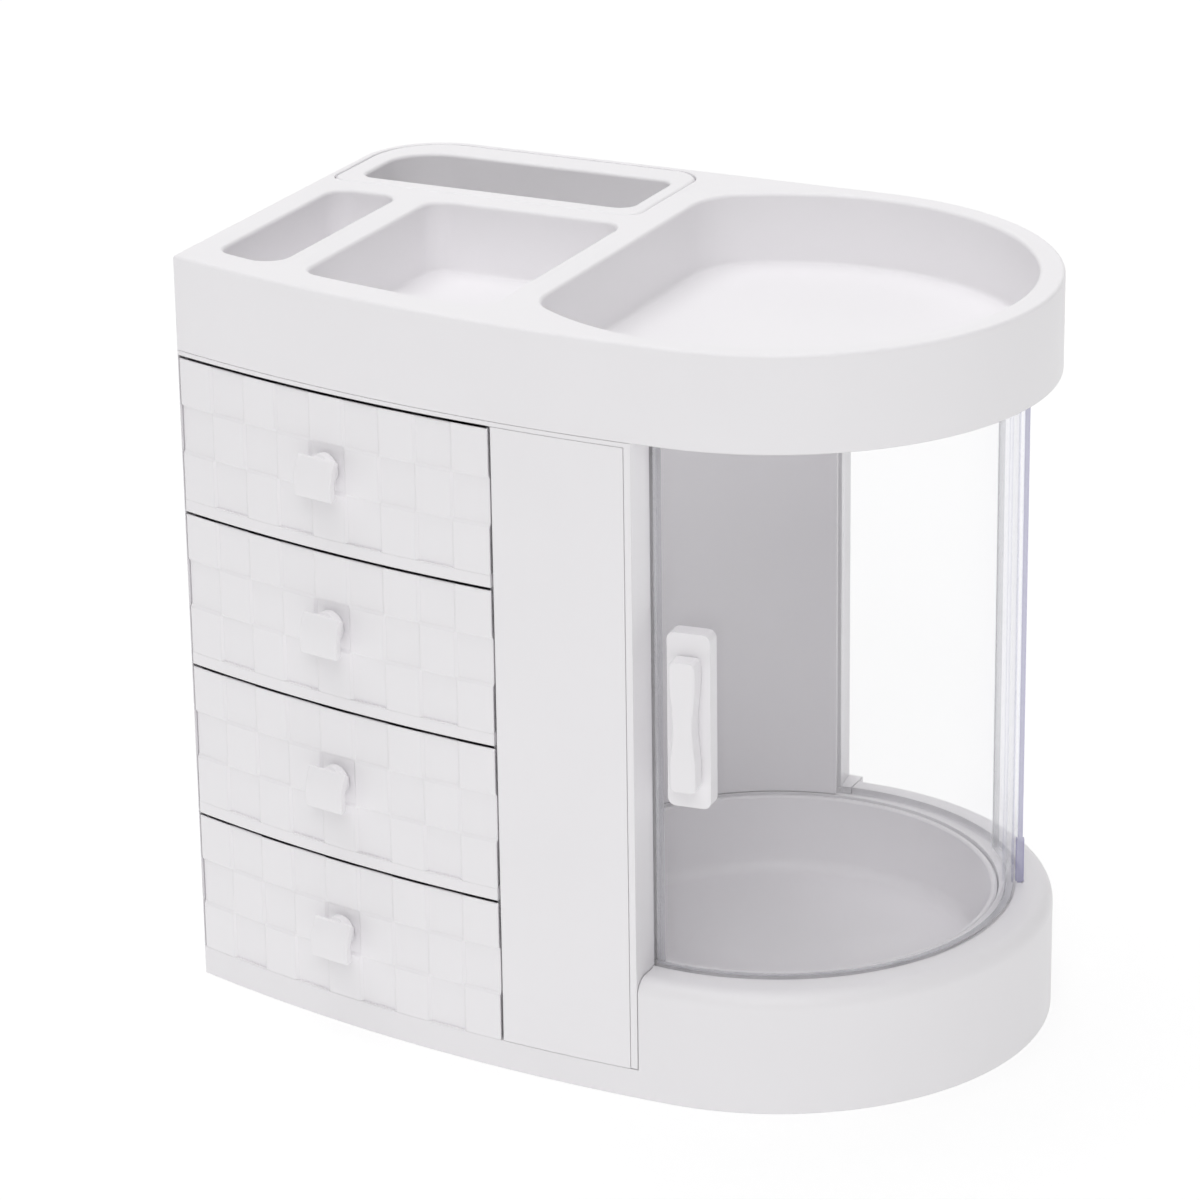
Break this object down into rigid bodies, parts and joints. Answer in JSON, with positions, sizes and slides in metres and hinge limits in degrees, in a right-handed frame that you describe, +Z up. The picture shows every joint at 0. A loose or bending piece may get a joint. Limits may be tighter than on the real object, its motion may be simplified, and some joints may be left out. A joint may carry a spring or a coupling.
{
  "type": "rotating makeup organizer",
  "caption": "Vanity organizer with checkered drawers, a turning bowl behind a clear sliding round door, an open top tray and a lift-out brush bin.",
  "frame": {"origin": "on the table, halfway along and halfway across the organizer", "axes": "+X towards the round end with the clear door, -Y the front with the drawers, +Z up"},
  "size_m": [0.2554, 0.1702, 0.2366],
  "materials": {
    "white_plastic": "semi-gloss moulded",
    "inner_white_plastic": "satin moulded",
    "clear_plastic": "clear, polished",
    "foot_rubber": "matt",
    "steel": "plated"
  },
  "bodies": {
    "cabinet": {"base": "white_plastic", "foot_1": "foot_rubber", "foot_2": "foot_rubber", "foot_3": "foot_rubber", "foot_4": "foot_rubber", "foot_5": "foot_rubber", "base_screw_1": "steel", "base_screw_2": "steel", "base_screw_3": "steel", "cabinet_shell": "white_plastic", "back_panel": "white_plastic", "front_panel": "white_plastic", "shelf_1": "white_plastic", "shelf_2": "white_plastic", "shelf_3": "white_plastic", "inner_wall": "inner_white_plastic", "rear_pane": "clear_plastic", "upper_rail": "white_plastic", "turntable_spindle": "steel", "top_tray": "white_plastic", "tray_screw_1": "steel", "tray_screw_2": "steel", "tray_screw_3": "steel"},
    "door": {"clear_door": "clear_plastic", "door_guide_1": "clear_plastic", "door_guide_2": "clear_plastic", "door_guide_3": "clear_plastic", "door_handle_plate": "white_plastic", "door_grip": "white_plastic"},
    "turntable": {"turntable_bowl": "inner_white_plastic"},
    "bin": {"brush_bin": "white_plastic"},
    "drawer_1": {"drawer_1_box": "inner_white_plastic", "drawer_1_front": "white_plastic", "drawer_1_knob": "white_plastic"},
    "drawer_2": {"drawer_2_box": "inner_white_plastic", "drawer_2_front": "white_plastic", "drawer_2_knob": "white_plastic"},
    "drawer_3": {"drawer_3_box": "inner_white_plastic", "drawer_3_front": "white_plastic", "drawer_3_knob": "white_plastic"},
    "drawer_4": {"drawer_4_box": "inner_white_plastic", "drawer_4_front": "white_plastic", "drawer_4_knob": "white_plastic"}
  },
  "joints": [
    {"name": "drawer_1_slide", "type": "slide", "parent": "cabinet", "child": "drawer_1", "axis": [0, -1, 0], "range_m": [0, 0.085]},
    {"name": "drawer_2_slide", "type": "slide", "parent": "cabinet", "child": "drawer_2", "axis": [0, -1, 0], "range_m": [0, 0.085]},
    {"name": "drawer_3_slide", "type": "slide", "parent": "cabinet", "child": "drawer_3", "axis": [0, -1, 0], "range_m": [0, 0.085]},
    {"name": "drawer_4_slide", "type": "slide", "parent": "cabinet", "child": "drawer_4", "axis": [0, -1, 0], "range_m": [0, 0.085]},
    {"name": "door_turn", "type": "hinge", "parent": "cabinet", "child": "door", "pos_m": [0.04275, 0, 0.12], "axis": [0, 0, 1], "range_deg": [0, 96]},
    {"name": "bowl_spin", "type": "hinge", "parent": "cabinet", "child": "turntable", "pos_m": [0.04275, 0, 0.012], "axis": [0, 0, 1], "continuous": true},
    {"name": "bin_lift", "type": "slide", "parent": "cabinet", "child": "bin", "axis": [0, 0, 1], "range_m": [0, 0.1]}
  ]
}
